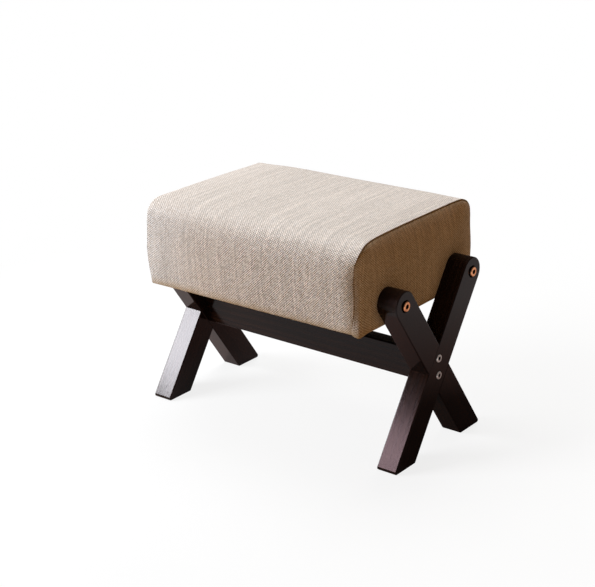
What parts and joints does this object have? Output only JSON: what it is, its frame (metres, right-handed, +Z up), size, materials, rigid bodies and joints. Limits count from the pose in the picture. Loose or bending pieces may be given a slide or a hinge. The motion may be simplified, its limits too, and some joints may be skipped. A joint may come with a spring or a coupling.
{
  "type": "footstool",
  "caption": "Low upholstered footstool: a cloth-covered block cushion on crossed dark wooden legs at each end, joined by a stretcher and held by exposed socket-head bolts.",
  "frame": {"origin": "centre of the footprint, on the floor under the feet", "axes": "+X to the right along the stretcher, +Y to the back, +Z up"},
  "size_m": [0.486, 0.298, 0.3537],
  "materials": {
    "stained_wood": "near-black brown stain under satin varnish",
    "copper_plated_bolt": "copper-coloured plating",
    "zinc_plated_bolt": "zinc plated",
    "plain_steel": "plain",
    "frame_pine": "sawn, unfinished",
    "deck_plywood": "sanded plywood",
    "foam": "open-cell foam",
    "cover_cloth": "beige linen-look weave",
    "dust_cloth": "black non-woven cloth"
  },
  "bodies": {
    "root": {"right_front_leg": "stained_wood", "right_back_leg": "stained_wood", "left_front_leg": "stained_wood", "left_back_leg": "stained_wood", "stretcher": "stained_wood", "seat_bolts": "copper_plated_bolt", "stretcher_bolts": "zinc_plated_bolt", "seat_tee_nuts": "plain_steel", "stretcher_barrel_nuts": "plain_steel", "frame_front_rail": "frame_pine", "frame_back_rail": "frame_pine", "frame_right_rail": "frame_pine", "frame_left_rail": "frame_pine", "frame_cross_rail": "frame_pine", "frame_screws": "plain_steel", "seat_deck": "deck_plywood", "seat_foam": "foam", "front_padding": "foam", "back_padding": "foam", "right_end_padding": "foam", "left_end_padding": "foam", "cover_main_panel": "cover_cloth", "cover_right_panel": "cover_cloth", "cover_left_panel": "cover_cloth", "dust_cover": "dust_cloth"}
  },
  "joints": []
}
